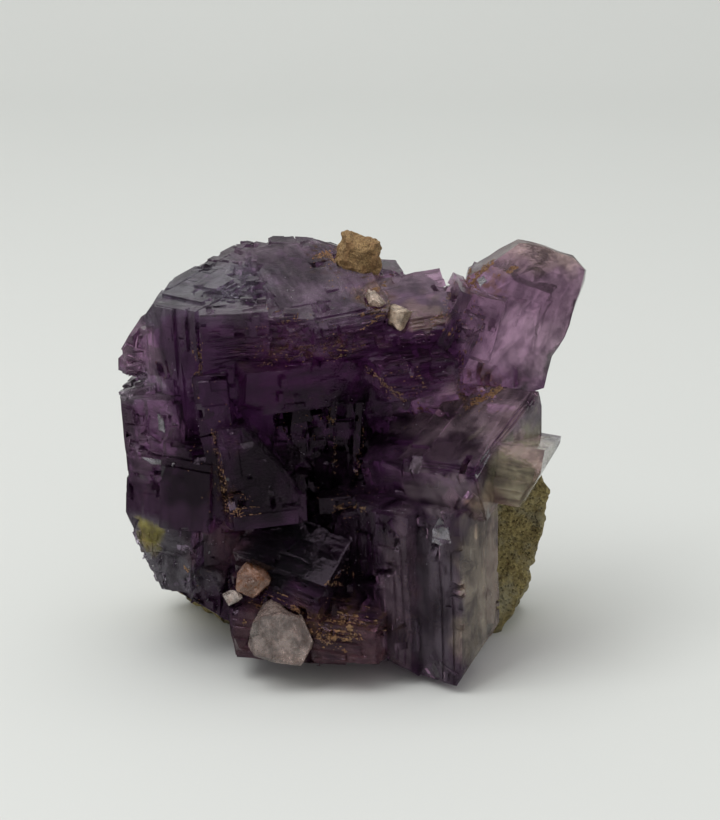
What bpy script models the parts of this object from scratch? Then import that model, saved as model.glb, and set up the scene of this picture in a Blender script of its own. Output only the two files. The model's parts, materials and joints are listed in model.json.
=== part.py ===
"""Fluorite cube specimen: a hand-sized group of intergrown purple cubes on a remnant of host rock.

The group stands upright on its broken lower edges. The front, where the cubes point, faces -Y.
Lengths are in millimetres and turns in degrees, converted where the meshes are made.
Every crystal is a block with its own turn; thin slabs on its faces are its growth steps.
"""

import math
import random

import bmesh
import bpy
from mathutils import Euler, Matrix, Vector, noise

MM = 0.001
SEED = 41
SEAM = 0.3
FAR = 80.0
WELD = 1e-7

# The large crystals: name, centre, size along the crystal's own edges, turn about X, Y and Z.
CROWN = (
    ("crown_left", (-17.5, 6.3, 46), (9, 24, 13), (7.5, 1, -34)),
    ("crown_middle", (-11, 3.6, 49), (13, 19, 6.5), (14, 0, -4)),
    ("crown_cheek", (-16, -0.2, 45), (9, 14, 13), (5, -2, 4)),
    ("crown_right", (-4.8, 3.6, 49.5), (15, 18, 6.5), (22, -5, 20)),
    ("crown_back", (-4.5, 12, 47.6), (15, 9, 13), (10, 4, 8)),
    ("crown_corner", (3.5, 9, 48), (5, 6, 10), (6, 4, 14)),
    ("plum_band", (-8.8, -0.5, 41.7), (18, 14, 6.5), (10, 0, 24)),
    ("cheek", (-15, 0, 37), (9, 12, 12), (2, -3, -4)),
    ("saddle", (8, 4.5, 45), (10, 11, 11.5), (31, -7, 10)),
    ("saddle_edge", (12.5, 1.5, 48), (1.6, 8, 10), (4, 25, 8)),
    ("step_band", (6.5, -0.5, 42.2), (11, 12, 4), (8, -1, 21)),
)
LEFT_SIDE = (
    ("left_wall", (-20.5, 1.5, 40), (8, 12, 12), (2, -1, -37)),
    ("left_bump", (-27.3, 4.2, 43), (6, 8, 6), (9, 10, -30)),
    ("left_step", (-27, 2.2, 34.2), (5, 10, 10), (1, -14, -11)),
    ("left_lobe", (-24.6, 1.6, 32), (9, 12, 14), (8, -5, -24)),
    ("left_plum", (-20.5, -2.3, 26.5), (7, 12, 12), (-2, 2, -18)),
    ("left_low", (-24.4, 3, 18), (10, 14, 15), (-4, 2, -19)),
    ("left_foot", (-20.5, 5, 10), (12, 12, 10), (10, 10, -30)),
    ("middle_strip", (-16.8, -2.5, 32.5), (4.5, 12, 20), (0, -8, -10)),
)
CENTRE = (
    ("block_mid", (-13, -5.9, 30.3), (10, 13, 11), (-10, -5, 14)),
    ("block_lip", (-12.6, -8, 24.5), (10.5, 10, 3.5), (-8, -1, 17)),
    ("plate_top", (-8.2, -7.6, 17.7), (14, 8, 2.5), (34, 12, -24)),
    ("plate_step", (-7.5, -6.2, 15.2), (13.5, 11, 4), (24, 9, -30)),
    ("front_block", (-5.5, -5.2, 7.3), (22, 15, 7), (7, 2.5, -16)),
    ("column_mid", (-1, -3.5, 15.5), (9, 6, 16), (2, 0, -42)),
    ("column_thin", (5, -5, 15.5), (5, 9, 20), (2, 0, -42)),
    ("shelf", (-1.5, -3.5, 24.5), (7, 6, 2.5), (10, -3, 8)),
    ("rust_ridge", (4.4, -5.5, 40.2), (7.5, 4, 1.4), (0, 40, 6)),
    ("deep_rib_left", (-3, -0.5, 34), (0.8, 2.4, 10), (4, 3, 8)),
    ("deep_rib_right", (0.8, -1, 33), (0.9, 3, 12), (4, 4, -12)),
    ("deep_cube", (-3, -3, 27.8), (2.4, 4, 4), (6, 1, -36)),
    ("deep_step", (-7, 0.5, 35), (5, 3, 7), (-6, -8, 18)),
)
RIGHT_SIDE = (
    ("face_tilted", (13.5, -3, 31), (18, 18.5, 7), (21, -2, -31)),
    ("clear_cube", (21.5, -5.3, 28.4), (9.5, 14, 9), (-11, 5, -15)),
    ("column_right", (13.2, -9, 13.5), (9, 9, 24.5), (2, -1, -41)),
    ("column_left", (7.5, -8, 13), (5.5, 9, 24), (4, 0, -34)),
    ("column_back", (12, 1, 14), (11, 14, 28), (2, 2, -14)),
    ("wing_root", (18, 6.5, 43), (11, 6, 18), (2, 20, -8)),
    ("wing_step", (17.5, 3, 46.8), (5, 6, 9), (2, 14, -14)),
    ("wing_foot", (14.5, 1.8, 45), (4, 6, 9), (2, 20, -10)),
    ("wing_bar", (18, -1.5, 40.9), (6, 5, 1.6), (0, -14, -8)),
)
BACK = (
    ("back_left", (-13, 13, 40.5), (12, 10, 11), (7, -8, 27)),
    ("back_right", (4.5, 13, 38), (11, 10, 13), (-6, 6, -27)),
    ("back_high", (-5, 14.5, 43), (8, 7, 8), (10, 5, 12)),
)
HEARTS = (
    ("heart_upper", (-4, 8.5, 38.5), (38, 13, 18), (2, 0, -5)),
    ("heart_lower", (-1, 5, 18), (40, 11, 30), (-3, 0, 4)),
)
# A small cube deep inside, from which the union of all crystals starts.
SEED_CUBE = ((-2, 5, 25), (3, 3, 3), (11, 7, 5))

# Breaks that cut one crystal: a point on the break and the way it faces.
BREAKS = {
    "left_low": (((-29, 4, 12.5), (-0.90, -0.23, -0.38)),),
    "left_foot": (((-22.8, 4, 5.9), (-0.52, -0.36, -0.77)), ((-29, 4, 12.5), (-0.90, -0.23, -0.38))),
    "heart_lower": (((-22.8, 4, 5.9), (-0.52, -0.36, -0.77)),),
    "left_lobe": (((-31.2, 0, 30), (-0.99, -0.11, -0.04)),),
    "left_bump": (((-29, 4, 46.9), (-0.84, 0.07, 0.53)),),
    "crown_left": (((-28.6, 4, 46.9), (-0.84, 0.07, 0.53)),),
    "crown_back": (((-1.1, 8, 55.8), (0.34, 0.23, 0.91)), ((-12, 12, 56.4), (-0.25, 0.1, 0.96))),
    "front_block": (((-16.3, -13, 8.4), (-0.99, -0.11, -0.13)), ((-6.2, -12, 3.4), (-0.06, -0.41, -0.91))),
    "column_right": (((17.3, -8, 3.3), (0.83, -0.26, -0.50)),),
    "column_back": (((17.3, -8, 3.3), (0.83, -0.26, -0.50)),),
    "column_left": (((8, -10, 0.9), (-0.46, -0.35, -0.81)),),
    "clear_cube": (((25.1, -6, 28), (0.84, -0.24, -0.48)), ((19.4, -8, 24.6), (-0.20, -0.33, -0.92))),
    "face_tilted": (((25.3, 0, 35.8), (1.0, -0.06, 0.05)),),
    "block_mid": (((-9.8, -12, 30.6), (0.80, 0.1, 0.60)),),
    "crown_right": (((-1.1, 8, 55.6), (0.3, 0.2, 0.93)),),
}

# The thin wing at the upper right, as seen from the front: x and z of its outline.
WING_OUTLINE = (
    (14.5, 48), (15.5, 53), (18.5, 54.8), (22.3, 57.3), (26, 57), (29.5, 55.6),
    (31.8, 52.6), (30.3, 49), (27, 41.5), (26, 37), (20, 35), (15, 38),
)
WING_FRONT, WING_BACK = 1.5, 8.0
WING_RIM, WING_FRONT_INSET = 2.0, 2.6
WING_BACK_RIM, WING_BACK_INSET = 1.5, 2.0
WING_THICK_X, WING_TIP_X = 18.0, 32.0
WING_MIDDLE_Y, WING_TAPER = 5.5, 0.45
WING_BREAKS = (
    ((20, 1.4, 52), (-0.25, -0.92, 0.3)),
    ((27, 2.2, 49), (0.3, -0.95, 0.05)),
    ((24, 2.6, 55), (0.15, -0.75, 0.64)),
    ((27, 7.5, 50), (0.25, 0.93, 0.27)),
    ((30.9, 5, 52), (0.95, -0.2, -0.24)),
)

# Growth steps: crystal, face, how many, and the rise of each.
LEDGES = (
    ("crown_right", "front", 6, 0.35), ("crown_middle", "front", 6, 0.35),
    ("step_band", "front", 3, 0.45), ("saddle", "front", 3, 0.4), ("plate_step", "front", 3, 0.45),
    ("front_block", "front", 4, 0.35), ("block_lip", "front", 2, 0.4), ("crown_left", "left", 2, 0.3),
)
TERRACES = (
    ("crown_left", "top", 2, 0.3), ("crown_right", "top", 2, 0.25), ("crown_left", "front", 2, 0.4),
    ("left_wall", "left", 2, 0.35), ("left_wall", "front", 2, 0.35), ("left_lobe", "front", 3, 0.35),
    ("left_lobe", "left", 2, 0.3), ("left_step", "top", 1, 0.3), ("left_plum", "front", 2, 0.4),
    ("left_low", "front", 3, 0.3), ("left_low", "left", 2, 0.35), ("left_bump", "front", 2, 0.35),
    ("middle_strip", "front", 2, 0.35), ("block_mid", "front", 3, 0.3), ("block_mid", "left", 2, 0.3),
    ("plate_top", "top", 2, 0.3), ("front_block", "top", 2, 0.4), ("column_mid", "front", 2, 0.4),
    ("column_mid", "left", 2, 0.4), ("face_tilted", "top", 3, 0.3), ("face_tilted", "front", 2, 0.35),
    ("face_tilted", "left", 2, 0.4), ("clear_cube", "front", 2, 0.3), ("column_right", "front", 2, 0.3),
    ("column_right", "right", 2, 0.35), ("column_left", "front", 2, 0.35), ("saddle", "top", 2, 0.3),
    ("crown_back", "back", 3, 0.5), ("heart_upper", "back", 4, 0.5), ("heart_upper", "left", 3, 0.5),
    ("crown_left", "left", 3, 0.4), ("wing_root", "back", 3, 0.5), ("column_thin", "front", 2, 0.3),
    ("back_left", "back", 3, 0.4), ("back_right", "back", 3, 0.4), ("back_high", "top", 2, 0.4),
)
# Small cubes scattered on a face: crystal, face, how many, largest side.
CUBELETS = (
    ("heart_upper", "front", 20, 3.0), ("heart_lower", "front", 26, 3.2), ("crown_middle", "top", 16, 2.6),
    ("crown_left", "top", 5, 1.6), ("crown_cheek", "front", 8, 2.2), ("crown_cheek", "top", 5, 2.0),
    ("cheek", "front", 6, 2.4), ("wing_step", "front", 5, 1.8), ("wing_foot", "front", 4, 1.6),
    ("deep_step", "front", 4, 1.6), ("shelf", "top", 4, 1.4), ("column_thin", "front", 4, 1.5),
    ("column_left", "front", 3, 1.6), ("column_right", "front", 4, 1.8), ("saddle", "front", 4, 1.4),
    ("left_low", "front", 6, 2.4), ("left_bump", "front", 3, 1.6), ("left_step", "front", 4, 1.8),
    ("crown_middle", "front", 6, 2.0), ("plum_band", "front", 4, 1.8), ("step_band", "front", 6, 1.8),
    ("saddle", "top", 3, 1.8), ("left_wall", "front", 4, 1.8), ("left_lobe", "front", 4, 2.2),
    ("left_foot", "front", 14, 2.4), ("left_foot", "left", 8, 2.4), ("middle_strip", "front", 6, 1.8),
    ("block_mid", "front", 5, 1.8), ("block_lip", "front", 5, 1.5), ("plate_step", "front", 6, 1.6),
    ("front_block", "top", 6, 1.8), ("front_block", "front", 4, 1.5), ("column_mid", "front", 6, 1.8),
    ("column_mid", "left", 5, 1.8), ("face_tilted", "left", 6, 1.8), ("face_tilted", "top", 4, 1.8),
    ("crown_back", "back", 8, 3.5), ("heart_upper", "back", 10, 4.0), ("crown_left", "left", 5, 2.4),
    ("wing_root", "front", 6, 2.2), ("left_low", "left", 5, 2.6), ("left_plum", "front", 3, 1.8),
    ("back_left", "back", 4, 2.8), ("back_right", "back", 4, 2.8), ("back_high", "back", 3, 2.2),
)
FACES = {"front": (1, -1), "back": (1, 1), "left": (0, -1), "right": (0, 1), "top": (2, 1), "under": (2, -1)}

# Host rock behind the lower half: a block with lumps of three sizes in its skin, broken off at the edges.
ROCK_CENTRE, ROCK_SIZE, ROCK_TURN = (-2, 12, 12), (54, 15, 30), (0, 0, 3)
ROCK_CUTS = 8
ROCK_LUMPS = ((17.0, 2.6), (6.0, 1.9), (2.6, 0.65))
ROCK_NOISE_SHIFT = (7.3, 1.9, 4.4)
ROCK_BREAKS = (
    ((-29, 4, 12.5), (-0.90, -0.23, -0.38)),
    ((-22.8, 4, 5.9), (-0.52, -0.36, -0.77)),
    ((23.3, 8, 4.0), (0.85, -0.25, -0.46)),
    ((22, 14, 24), (0.45, 0.35, 0.82)),
    ((-21, 16, 24), (-0.5, 0.5, 0.7)),
    ((-24, 19, 8), (-0.55, 0.8, -0.2)),
    ((24, 18, 10), (0.7, 0.7, -0.15)),
    ((2, 19.5, 22), (0.05, 0.75, 0.65)),
    ((6, 20, 3), (0.1, 0.85, -0.5)),
)
# Crystals whose centre is behind this y and below this z reach into the rock; their seats vary a little.
ROCK_REACH_Y, ROCK_REACH_Z = -3.0, 36.0
SEAT_PLAY = 0.1

# Lesser minerals seated in the group: name, centre, size, turn, number of random breaks, seed.
GRAINS = (
    ("quartz_front", (-9.6, -13.2, 7.7), (8.2, 4.4, 7), (-8, 18, -14), 8, 5),
    ("quartz_side", (-13.8, -9.6, 14.2), (3.8, 3.6, 3.4), (10, 20, 15), 8, 8),
    ("quartz_side_small", (-16.2, -8.4, 11.2), (2.2, 2.6, 2), (0, -30, 10), 7, 3),
    ("pale_grain", (6, -2.2, 49.2), (2.7, 3, 3), (10, 25, 0), 7, 4),
    ("pale_grain_small", (2.9, -1.4, 51.2), (2.2, 2.4, 1.8), (20, -20, 10), 6, 9),
    ("iron_crumb", (0.8, 7, 55.3), (5.4, 4.6, 4.6), (10, 12, 20), 12, 2),
)

# Looks: colour and roughness.
FLUORITE_LOOK = ((0.075, 0.045, 0.085, 1.0), 0.25)
ROCK_LOOK = ((0.16, 0.14, 0.06, 1.0), 0.85)
QUARTZ_LOOK = ((0.38, 0.32, 0.29, 1.0), 0.35)
IRON_LOOK = ((0.24, 0.15, 0.06, 1.0), 0.9)


def material(name, colour, roughness):
    made = bpy.data.materials.new(name)
    made.use_nodes = True
    shader = made.node_tree.nodes["Principled BSDF"]
    shader.inputs["Base Color"].default_value = colour
    shader.inputs["Roughness"].default_value = roughness
    shader.inputs["Metallic"].default_value = 0.0
    made.diffuse_color = colour
    return made


def frame_of(centre, turn):
    angles = Euler([math.radians(angle) for angle in turn])
    return Matrix.Translation(Vector(centre)) @ angles.to_matrix().to_4x4()


def cut_plane(mesh, point, facing):
    """Breaks a convex mesh off at a plane and closes the cut."""
    everything = mesh.verts[:] + mesh.edges[:] + mesh.faces[:]
    cut = bmesh.ops.bisect_plane(
        mesh, geom=everything, plane_co=Vector(point) * MM, plane_no=Vector(facing), clear_outer=True
    )
    rim = [part for part in cut["geom_cut"] if isinstance(part, bmesh.types.BMEdge)]
    if rim:
        bmesh.ops.contextual_create(mesh, geom=rim)
    bmesh.ops.recalc_face_normals(mesh, faces=mesh.faces)


def block(frame, size):
    """A rectangular block in a crystal's frame, as a mesh in metres."""
    mesh = bmesh.new()
    stretch = Matrix.Diagonal((*size, 1.0))
    bmesh.ops.create_cube(mesh, size=1.0, matrix=Matrix.Scale(MM, 4) @ frame @ stretch)
    return mesh


def wing():
    mesh = bmesh.new()
    corners = [mesh.verts.new((x * MM, WING_BACK * MM, z * MM)) for x, z in WING_OUTLINE]
    back = mesh.faces.new(corners)
    grown = bmesh.ops.extrude_face_region(mesh, geom=[back])["geom"]
    moved = [part for part in grown if isinstance(part, bmesh.types.BMVert)]
    bmesh.ops.translate(mesh, verts=moved, vec=(0, (WING_FRONT + WING_RIM - WING_BACK) * MM, 0))
    front = [part for part in grown if isinstance(part, bmesh.types.BMFace)]
    bmesh.ops.recalc_face_normals(mesh, faces=mesh.faces)
    bmesh.ops.inset_region(mesh, faces=front, thickness=WING_FRONT_INSET * MM, depth=WING_RIM * MM)
    bmesh.ops.inset_region(mesh, faces=[back], thickness=WING_BACK_INSET * MM, depth=WING_BACK_RIM * MM)
    bmesh.ops.recalc_face_normals(mesh, faces=mesh.faces)
    for vert in mesh.verts:
        outward = max(0.0, vert.co.x / MM - WING_THICK_X) / (WING_TIP_X - WING_THICK_X)
        middle = WING_MIDDLE_Y * MM
        vert.co.y = middle + (vert.co.y - middle) * (1 - WING_TAPER * outward)
    for point, facing in WING_BREAKS:
        cut_plane(mesh, point, facing)
    return mesh


def slab_on(centre, size, turn, face, u_span, v_span, rise, root=0.8):
    """A slab that stands `rise` off a face of a crystal. Spans are fractions of the face."""
    axis, sign = FACES[face]
    u_axis, v_axis = [other for other in (0, 1, 2) if other != axis]
    at = [0.0, 0.0, 0.0]
    sides = [0.0, 0.0, 0.0]
    for along, (low, high) in ((u_axis, u_span), (v_axis, v_span)):
        at[along] = ((low + high) / 2 - 0.5) * size[along]
        sides[along] = (high - low) * size[along]
    at[axis] = sign * (size[axis] / 2 + (rise - root) / 2)
    sides[axis] = rise + root
    return frame_of(centre, turn) @ Matrix.Translation(Vector(at)), sides


def ledges(crystal, face, count, rise, dice):
    """Stairs that step outward going down the face."""
    _, centre, size, turn = crystal
    for step in range(1, count + 1):
        top = 1 - step * dice.uniform(0.85, 1.05) / (count + 1.6)
        left, right = dice.uniform(-0.03, 0.12), 1 - dice.uniform(-0.03, 0.15)
        yield slab_on(centre, size, turn, face, (left, right), (-0.02, top), step * rise)


def terraces(crystal, face, count, rise, dice):
    """Growth slabs on one another, drawn back from some edges of the face more than from others."""
    _, centre, size, turn = crystal
    pulls = [dice.choice((0.004, 0.02, 0.16, 0.24)) for _ in range(4)]
    edges = [-0.012, -0.012, -0.012, -0.012]
    for step in range(1, count + 1):
        edges = [edge + pull * dice.uniform(0.5, 1.3) for edge, pull in zip(edges, pulls)]
        u_span, v_span = (edges[0], 1 - edges[1]), (edges[2], 1 - edges[3])
        yield slab_on(centre, size, turn, face, u_span, v_span, step * rise)


def cubelets(crystal, face, count, largest, dice):
    """Small cubes in the crystal's own turn, scattered over a face."""
    _, centre, size, turn = crystal
    axis, _ = FACES[face]
    u_side, v_side = [size[other] for other in (0, 1, 2) if other != axis]
    for _ in range(count):
        wide, tall = dice.uniform(0.35, 1) * largest / u_side, dice.uniform(0.35, 1) * largest / v_side
        u, v = dice.uniform(0.0, 1 - wide), dice.uniform(0.0, 1 - tall)
        rise = dice.uniform(0.12, 0.4) * largest
        yield slab_on(centre, size, turn, face, (u, u + wide), (v, v + tall), rise)


def link(mesh, name, home):
    data = bpy.data.meshes.new(name)
    mesh.to_mesh(data)
    mesh.free()
    made = bpy.data.objects.new(name, data)
    made.hide_render = True
    made.display_type = "WIRE"
    home.objects.link(made)
    return made


def helper_collection(name):
    made = bpy.data.collections.new(name)
    bpy.context.scene.collection.children.link(made)
    return made


def faceted_grain(centre, size, turn, breaks, seed, grow=0.0):
    """A small crystal fragment: a block broken off by flat faces that touch an oval."""
    dice = random.Random(seed)
    sides = [side + 2 * grow for side in size]
    frame = frame_of(centre, turn)
    mesh = block(frame, sides)
    for _ in range(breaks):
        facing = Vector([dice.uniform(-1, 1) for _ in range(3)]).normalized()
        reach = 0.5 * Vector([side * part for side, part in zip(size, facing)]).length
        reach = reach * dice.uniform(0.92, 1.12) + grow
        cut_plane(mesh, frame @ (facing * reach), frame.to_3x3() @ facing)
    return mesh


def rough_rock():
    """Broken host rock: a block with a lumpy skin, cut off by breaks."""
    mesh = block(frame_of(ROCK_CENTRE, ROCK_TURN), ROCK_SIZE)
    bmesh.ops.subdivide_edges(mesh, edges=mesh.edges[:], cuts=ROCK_CUTS, use_grid_fill=True)
    shift = Vector(ROCK_NOISE_SHIFT)
    for vert in mesh.verts:
        at = vert.co / MM
        moves = [height * Vector(noise.noise_vector(at / grain + shift)) for grain, height in ROCK_LUMPS]
        vert.co += sum(moves, Vector()) * MM
    return mesh


def all_blocks():
    """Every block of the group: its name, frame, size and breaks."""
    dice = random.Random(SEED)
    crystals = {entry[0]: entry for entry in CROWN + LEFT_SIDE + CENTRE + RIGHT_SIDE + BACK + HEARTS}
    for name, centre, size, turn in crystals.values():
        yield name, frame_of(centre, turn), size
    for kind, table in ((ledges, LEDGES), (terraces, TERRACES), (cubelets, CUBELETS)):
        for name, face, count, amount in table:
            for frame, size in kind(crystals[name], face, count, amount, dice):
                yield name, frame, size


def boolean(target, operation, home):
    tool = target.modifiers.new(operation.lower(), "BOOLEAN")
    tool.operation = operation
    tool.operand_type = "COLLECTION"
    tool.collection = home
    tool.solver = "EXACT"


def bodies_of(mesh):
    """The vertices of each connected body of a mesh."""
    bodies = []
    unseen = set(mesh.verts)
    while unseen:
        body = [unseen.pop()]
        for vert in body:
            near = {edge.other_vert(vert) for edge in vert.link_edges} & unseen
            body.extend(near)
            unseen -= near
        bodies.append(body)
    return bodies


def settle(target):
    """Makes a mesh of what the modifiers give, and keeps its largest closed body."""
    bpy.context.view_layer.update()
    graph = bpy.context.evaluated_depsgraph_get()
    mesh = bmesh.new()
    mesh.from_mesh(bpy.data.meshes.new_from_object(target.evaluated_get(graph)))
    target.modifiers.clear()
    bmesh.ops.remove_doubles(mesh, verts=mesh.verts, dist=WELD)
    bmesh.ops.dissolve_degenerate(mesh, edges=mesh.edges, dist=WELD)
    for body in sorted(bodies_of(mesh), key=len)[:-1]:
        bmesh.ops.delete(mesh, geom=body, context="VERTS")
    mesh.to_mesh(target.data)
    mesh.free()


def rock(home, table):
    """Host rock that fills the back between the crystals and leaves a hair gap round each."""
    seats = helper_collection("rock_seats")
    dice = random.Random(SEED + 2)
    for name, frame, size in all_blocks():
        at = frame.translation
        if at.y > ROCK_REACH_Y and at.z < ROCK_REACH_Z:
            room = 2 * SEAM + dice.uniform(0, SEAT_PLAY)
            link(block(frame, [side + room for side in size]), "seat_" + name, seats)
    offcuts = helper_collection("rock_offcuts")
    for number, (point, facing) in enumerate(ROCK_BREAKS):
        facing = Vector(facing).normalized()
        middle = Vector(point) + facing * FAR / 2
        frame = Matrix.Translation(middle) @ facing.to_track_quat("Z", "Y").to_matrix().to_4x4()
        link(block(frame, (FAR, FAR, FAR)), f"offcut_{number}", offcuts)
    made = link(rough_rock(), "rock_matrix", home)
    for operand in (offcuts, seats, table):
        boolean(made, "DIFFERENCE", operand)
        settle(made)
    finish(made, *ROCK_LOOK)


def finish(target, colour, roughness):
    target.data.materials.clear()
    target.data.materials.append(material(target.name, colour, roughness))
    target.hide_render = False
    target.display_type = "TEXTURED"


def cluster(home, table):
    """All crystals joined in one solid, cut flat where it stands."""
    blocks = helper_collection("growth_blocks")
    dice = random.Random(SEED + 1)
    broken = set()
    for name, frame, size in all_blocks():
        mesh = block(frame, size)
        depth = dice.uniform(0.05, 0.5) if name in broken else 0.0
        for point, facing in BREAKS.get(name, ()):
            cut_plane(mesh, Vector(point) - depth * Vector(facing).normalized(), facing)
        broken.add(name)
        if mesh.faces:
            link(mesh, "block_" + name, blocks)
    link(wing(), "block_wing", blocks)
    centre, size, turn = SEED_CUBE
    made = link(block(frame_of(centre, turn), size), "fluorite_cluster", home)
    sockets = helper_collection("grain_sockets")
    for name, centre, size, turn, breaks, seed_number in GRAINS:
        link(faceted_grain(centre, size, turn, breaks, seed_number, SEAM), "socket_" + name, sockets)
    for operation, operand in (("UNION", blocks), ("DIFFERENCE", table), ("DIFFERENCE", sockets)):
        boolean(made, operation, operand)
        settle(made)
    finish(made, *FLUORITE_LOOK)


def stand_on_origin(nodes):
    """Shifts all nodes together, so that the origin is the bottom centre of their box."""
    corners = [vert.co for node in nodes for vert in node.data.vertices]
    middle = [(min(at[axis] for at in corners) + max(at[axis] for at in corners)) / 2 for axis in (0, 1)]
    shift = Matrix.Translation((-middle[0], -middle[1], 0))
    for node in nodes:
        node.data.transform(shift)


def main():
    for old in list(bpy.data.objects):
        bpy.data.objects.remove(old)
    noise.seed_set(SEED)
    home = bpy.context.scene.collection
    table = helper_collection("below_the_base")
    link(block(frame_of((0, 0, -FAR / 2), (0, 0, 0)), (FAR, FAR, FAR)), "under_base", table)
    cluster(home, table)
    rock(home, table)
    for name, centre, size, turn, breaks, seed in GRAINS:
        grain = link(faceted_grain(centre, size, turn, breaks, seed), name, home)
        finish(grain, *(IRON_LOOK if name == "iron_crumb" else QUARTZ_LOOK))
    stand_on_origin([node for node in home.objects if not node.hide_render])


if __name__ == "__main__":
    main()
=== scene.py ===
"""Fluorite cube specimen: fine crystals, rock, grains, rust in the joints, and a plain stage.

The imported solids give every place. Each operator builds one group of pieces on them.
Lengths in the tables and at the head of a function are in millimetres, unless a comment or MM says otherwise.
"""

import json
import math
import random

import bmesh
import bpy
from bpy.props import FloatProperty, FloatVectorProperty, IntProperty, PointerProperty
from mathutils import Euler, Matrix, Vector, noise
from mathutils.bvhtree import BVHTree

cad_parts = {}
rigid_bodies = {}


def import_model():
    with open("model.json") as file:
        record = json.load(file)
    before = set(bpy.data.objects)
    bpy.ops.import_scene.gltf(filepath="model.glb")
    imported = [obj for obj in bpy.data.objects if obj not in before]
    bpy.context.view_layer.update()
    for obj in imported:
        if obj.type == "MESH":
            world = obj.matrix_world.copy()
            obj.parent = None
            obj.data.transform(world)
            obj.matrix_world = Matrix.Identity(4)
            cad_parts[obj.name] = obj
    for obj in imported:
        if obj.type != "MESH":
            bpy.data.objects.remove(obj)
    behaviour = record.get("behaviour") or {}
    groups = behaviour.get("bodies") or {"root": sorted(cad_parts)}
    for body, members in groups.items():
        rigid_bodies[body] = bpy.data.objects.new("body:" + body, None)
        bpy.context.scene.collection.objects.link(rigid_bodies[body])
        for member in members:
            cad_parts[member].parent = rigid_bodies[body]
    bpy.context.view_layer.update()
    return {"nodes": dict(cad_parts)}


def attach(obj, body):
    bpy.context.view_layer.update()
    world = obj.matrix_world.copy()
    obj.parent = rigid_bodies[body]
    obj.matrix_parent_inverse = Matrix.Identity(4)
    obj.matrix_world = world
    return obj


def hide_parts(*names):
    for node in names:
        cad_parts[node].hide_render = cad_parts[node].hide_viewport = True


bl_info = {
    "name": "Fluorite cube specimen",
    "version": (1, 0, 0),
    "blender": (4, 5, 0),
    "location": "View3D > Sidebar > Fluorite",
    "description": "Builds the crystals, rock, grains and stage of a fluorite cube specimen",
    "category": "Add Mesh",
}

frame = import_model()

MM = 0.001
SEED = 19
WELD = 1e-6
CRYSTAL_UV = "crystal_axes"

# Camera, in millimetres, and the size of its picture in pixels.
CAMERA_EYE, CAMERA_AIM = (1.24, -315.77, 136.9), (1.24, 7.59, 31.84)
CAMERA_LENS, CAMERA_SENSOR = 121.43, 36.0
PICTURE_WIDTH, PICTURE_HEIGHT = 720, 820

# Growth plates: centre, reach, number, width, height as a share of the width, rise as a multiple of the mean.
PLATE_PATCHES = {
    "everywhere": ((0, 0, 29), (45, 45, 45), 420, (0.6, 4.0), (0.2, 0.9), 0.8),
    "hollow": ((-3, -5, 34), (10, 9, 9), 420, (0.3, 2.6), (0.2, 0.9), 1.6),
    "crown_ledges": ((-5, -9, 48), (13, 7, 4.5), 1100, (2.5, 12.0), (0.02, 0.06), 3.2),
    "saddle_ledges": ((9, -7, 44), (8, 8, 5), 420, (2.0, 8.0), (0.03, 0.08), 4.0),
    "diagonal_block": ((-14, -13, 30), (6, 5, 8), 160, (0.5, 5.0), (0.05, 0.4), 1.6),
    "plate": ((-7, -12, 18), (10, 6, 5), 160, (0.5, 4.0), (0.1, 0.6), 1.8),
    "front_block": ((-4, -15, 6), (13, 8, 6), 200, (2.0, 10.0), (0.02, 0.1), 2.6),
    "dark_columns": ((2, -11, 19), (6, 6, 9), 160, (0.5, 4.0), (0.1, 0.8), 1.8),
    "left_foot": ((-24, -5, 12), (9, 9, 8), 240, (0.4, 2.5), (0.3, 1.0), 2.2),
}
# Edges of growth steps that run as long thin bars over the faces, as places in the picture.
STEP_EDGES = {
    "crown_first": ((200, 354), (251, 345), (300, 335), (391, 315)),
    "crown_second": ((200, 359), (254, 354), (312, 342), (381, 330)),
    "crown_third": ((201, 363), (251, 357), (312, 348), (378, 339)),
    "crown_fourth": ((254, 365), (287, 360), (318, 351), (372, 344)),
    "crown_high": ((257, 342), (300, 333), (342, 324), (391, 319)),
    "crown_top": ((318, 327), (348, 321), (388, 316)),
    "inset_high": ((244, 310), (275, 312), (300, 307)),
    "inset_low": ((247, 316), (294, 318)),
    "saddle_first": ((375, 347), (394, 351), (418, 360)),
    "saddle_second": ((388, 354), (420, 351), (440, 345)),
    "front_first": ((276, 617), (300, 622), (345, 634)),
    "front_second": ((365, 640), (372, 646)),
    "column_edge": ((420, 657), (438, 662), (455, 672)),
}
# The wing and the clear cube, whose edges stay whole: centre and reach.
UNCHIPPED_PATCHES = (((26, 2, 50), (10, 10, 14)), ((23, -12, 29), (8, 9, 8)))
# Smooth faces that carry no plates: centre and reach.
SMOOTH_PATCHES = (
    *UNCHIPPED_PATCHES,
    ((-13, 1, 54), (25, 19, 6.2)),
    ((8, 0, 52), (9, 8, 3)),
    ((15, -6, 38), (8, 8, 5)),
    ((-28, -3, 40), (6, 8, 6)),
)


# ---------------------------------------------------------------- settings

class CrystalSettings(bpy.types.PropertyGroup):
    density: FloatProperty(
        name="Absorption density", description="How fast the crystal darkens with depth, per metre",
        default=150.0, min=0.0,
    )
    absorbed: FloatVectorProperty(
        name="Absorption colour", description="Colour that light keeps as it passes through the crystal",
        default=(0.56, 0.34, 0.60), size=3, subtype="COLOR", min=0.0, max=1.0,
    )
    clearness: FloatProperty(
        name="Clearness", description="Share of the light that enters the crystal and passes on",
        default=0.85, min=0.0, max=1.0, subtype="FACTOR",
    )
    growth: FloatProperty(name="Growth", description="Number of plates on the faces, as a share", default=1.0)
    chips: IntProperty(name="Chips", description="Nicks along the edges", default=800)
    plate_rise: FloatProperty(
        name="Plate rise", description="Mean height of one growth plate", default=0.00006, unit="LENGTH",
    )
    warp: FloatProperty(
        name="Warp", description="How far the faces wander from true planes", default=0.00025, unit="LENGTH",
    )


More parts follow.
